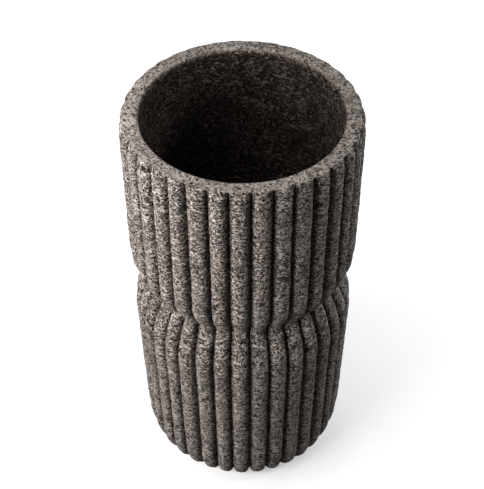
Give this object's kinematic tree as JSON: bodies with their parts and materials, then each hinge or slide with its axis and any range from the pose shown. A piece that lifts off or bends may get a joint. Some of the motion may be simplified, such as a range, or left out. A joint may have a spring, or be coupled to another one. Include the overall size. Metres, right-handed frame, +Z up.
{
  "type": "ribbed vase",
  "caption": "Tall round cast-stone vase with half-round vertical ribs, a pinched waist and an open mouth, holding a lift-out water liner and standing on felt pads.",
  "frame": {"origin": "on the table under the middle of the vase, level with the undersides of the felt pads", "axes": "+Z up along the vase's axis; a rib crest lies on the -Y side, which faces the camera of the picture but for about one degree"},
  "size_m": [0.1598, 0.1597, 0.308],
  "materials": {
    "stone": "coarse porous, unsealed, dark warm grey",
    "liner": "matt black moulded plastic",
    "felt": "pressed felt"
  },
  "bodies": {
    "vase": {"stone_body": "stone", "felt_pad_1": "felt", "felt_pad_2": "felt", "felt_pad_3": "felt", "felt_pad_4": "felt"},
    "liner": {"water_liner": "liner"}
  },
  "joints": [
    {"name": "liner_lift", "type": "slide", "parent": "vase", "child": "liner", "axis": [0, 0, 1], "range_m": [0, 0.31]}
  ]
}
